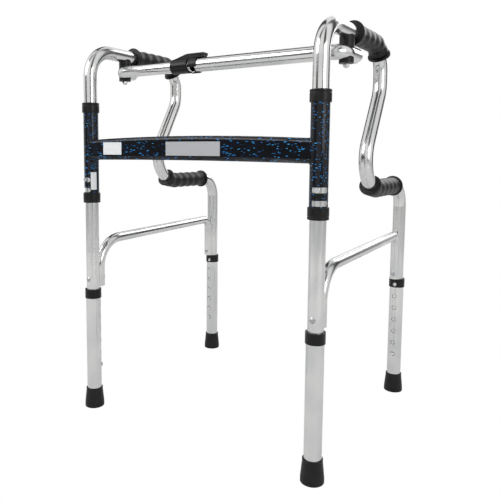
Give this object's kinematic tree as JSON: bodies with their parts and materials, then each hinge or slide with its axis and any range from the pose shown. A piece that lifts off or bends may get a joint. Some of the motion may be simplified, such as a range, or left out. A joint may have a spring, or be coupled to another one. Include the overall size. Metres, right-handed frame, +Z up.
{
  "type": "walking frame",
  "caption": "Folding, reciprocating aluminium walking frame with two side frames hinged in a front H-frame and four telescopic legs.",
  "frame": {"origin": "on the floor at the centre of the frame's plan outline, midway between the four feet", "axes": "+Z up, +X to the right as seen from the front, -Y towards the front (the H-frame side); the walking person stands at +Y"},
  "size_m": [0.521, 0.463, 0.7315],
  "materials": {
    "polished_tube": "polished",
    "fleck_paint": "gloss",
    "black_moulding": "satin",
    "foot_rubber": "matte",
    "grip_rubber": "matte",
    "bright_steel": "polished",
    "spring_steel": "brushed",
    "rivet_metal": "satin",
    "white_plug": "satin",
    "plate_grey": "satin",
    "label_pale": "satin"
  },
  "bodies": {
    "h_frame": {"cross_beam": "fleck_paint", "nameplate": "plate_grey", "beam_label": "label_pale", "sleeve_label": "label_pale", "left_sleeve": "fleck_paint", "left_upper_bush": "black_moulding", "left_lower_bush": "black_moulding", "right_sleeve": "fleck_paint", "right_upper_bush": "black_moulding", "right_lower_bush": "black_moulding"},
    "left_side": {"left_side_tube": "polished_tube", "left_brace": "polished_tube", "left_brace_plugs": "white_plug", "left_rivets": "rivet_metal", "left_top_grip": "grip_rubber", "left_low_grip": "grip_rubber", "left_stop_screw": "bright_steel", "left_handle_saddle": "black_moulding", "left_pivot_bolt": "bright_steel", "left_insert": "rivet_metal", "left_front_spring": "spring_steel", "left_rear_spring": "spring_steel"},
    "left_bar": {"left_bar_tube": "polished_tube", "left_bar_saddle": "black_moulding", "left_washer_saddle": "black_moulding", "left_bar_plug": "black_moulding", "bar_clip": "black_moulding", "clip_jaw": "black_moulding"},
    "left_front_leg_body": {"left_front_leg": "polished_tube", "left_front_collar": "black_moulding", "left_front_foot": "foot_rubber"},
    "left_front_button_body": {"left_front_button": "bright_steel"},
    "left_rear_leg_body": {"left_rear_leg": "polished_tube", "left_rear_collar": "black_moulding", "left_rear_foot": "foot_rubber"},
    "left_rear_button_body": {"left_rear_button": "bright_steel"},
    "right_side": {"right_side_tube": "polished_tube", "right_brace": "polished_tube", "right_brace_plugs": "white_plug", "right_rivets": "rivet_metal", "right_top_grip": "grip_rubber", "right_low_grip": "grip_rubber", "right_stop_screw": "bright_steel", "right_handle_saddle": "black_moulding", "right_pivot_bolt": "bright_steel", "right_insert": "rivet_metal", "right_front_spring": "spring_steel", "right_rear_spring": "spring_steel"},
    "right_bar": {"right_bar_tube": "polished_tube", "right_bar_saddle": "black_moulding", "right_washer_saddle": "black_moulding", "right_bar_plug": "black_moulding"},
    "right_front_leg_body": {"right_front_leg": "polished_tube", "right_front_collar": "black_moulding", "right_front_foot": "foot_rubber"},
    "right_front_button_body": {"right_front_button": "bright_steel"},
    "right_rear_leg_body": {"right_rear_leg": "polished_tube", "right_rear_collar": "black_moulding", "right_rear_foot": "foot_rubber"},
    "right_rear_button_body": {"right_rear_button": "bright_steel"}
  },
  "joints": [
    {"name": "left_fold", "type": "hinge", "parent": "h_frame", "child": "left_side", "pos_m": [-0.24, -0.2125, 0.512], "axis": [0, 0, 1], "range_deg": [-62, 30]},
    {"name": "left_bar_swing", "type": "hinge", "parent": "left_side", "child": "left_bar", "pos_m": [-0.24, -0.1145, 0.6935], "axis": [0, 0, 1], "range_deg": [-30, 78], "deforming": ["clip_jaw"]},
    {"name": "left_front_leg_slide", "type": "slide", "parent": "left_side", "child": "left_front_leg_body", "axis": [0, 0, -1], "range_m": [0, 0.1524]},
    {"name": "left_front_button_press", "type": "slide", "parent": "left_side", "child": "left_front_button_body", "axis": [-0.6428, -0.766, 0], "range_m": [0, 0.005], "stiffness_N_per_m": 300, "springref_m": -0.002, "deforming": ["left_front_spring"]},
    {"name": "left_rear_leg_slide", "type": "slide", "parent": "left_side", "child": "left_rear_leg_body", "axis": [0, 0, -1], "range_m": [0, 0.1524]},
    {"name": "left_rear_button_press", "type": "slide", "parent": "left_side", "child": "left_rear_button_body", "axis": [0, 1, 0], "range_m": [0, 0.005], "stiffness_N_per_m": 300, "springref_m": -0.002, "deforming": ["left_rear_spring"]},
    {"name": "right_fold", "type": "hinge", "parent": "h_frame", "child": "right_side", "pos_m": [0.24, -0.2125, 0.512], "axis": [0, 0, 1], "range_deg": [-30, 62]},
    {"name": "right_bar_swing", "type": "hinge", "parent": "right_side", "child": "right_bar", "pos_m": [0.24, -0.1145, 0.6935], "axis": [0, 0, 1], "range_deg": [-78, 30]},
    {"name": "right_front_leg_slide", "type": "slide", "parent": "right_side", "child": "right_front_leg_body", "axis": [0, 0, -1], "range_m": [0, 0.1524]},
    {"name": "right_front_button_press", "type": "slide", "parent": "right_side", "child": "right_front_button_body", "axis": [0.6428, -0.766, 0], "range_m": [0, 0.005], "stiffness_N_per_m": 300, "springref_m": -0.002, "deforming": ["right_front_spring"]},
    {"name": "right_rear_leg_slide", "type": "slide", "parent": "right_side", "child": "right_rear_leg_body", "axis": [0, 0, -1], "range_m": [0, 0.1524]},
    {"name": "right_rear_button_press", "type": "slide", "parent": "right_side", "child": "right_rear_button_body", "axis": [0, 1, 0], "range_m": [0, 0.005], "stiffness_N_per_m": 300, "springref_m": -0.002, "deforming": ["right_rear_spring"]}
  ]
}
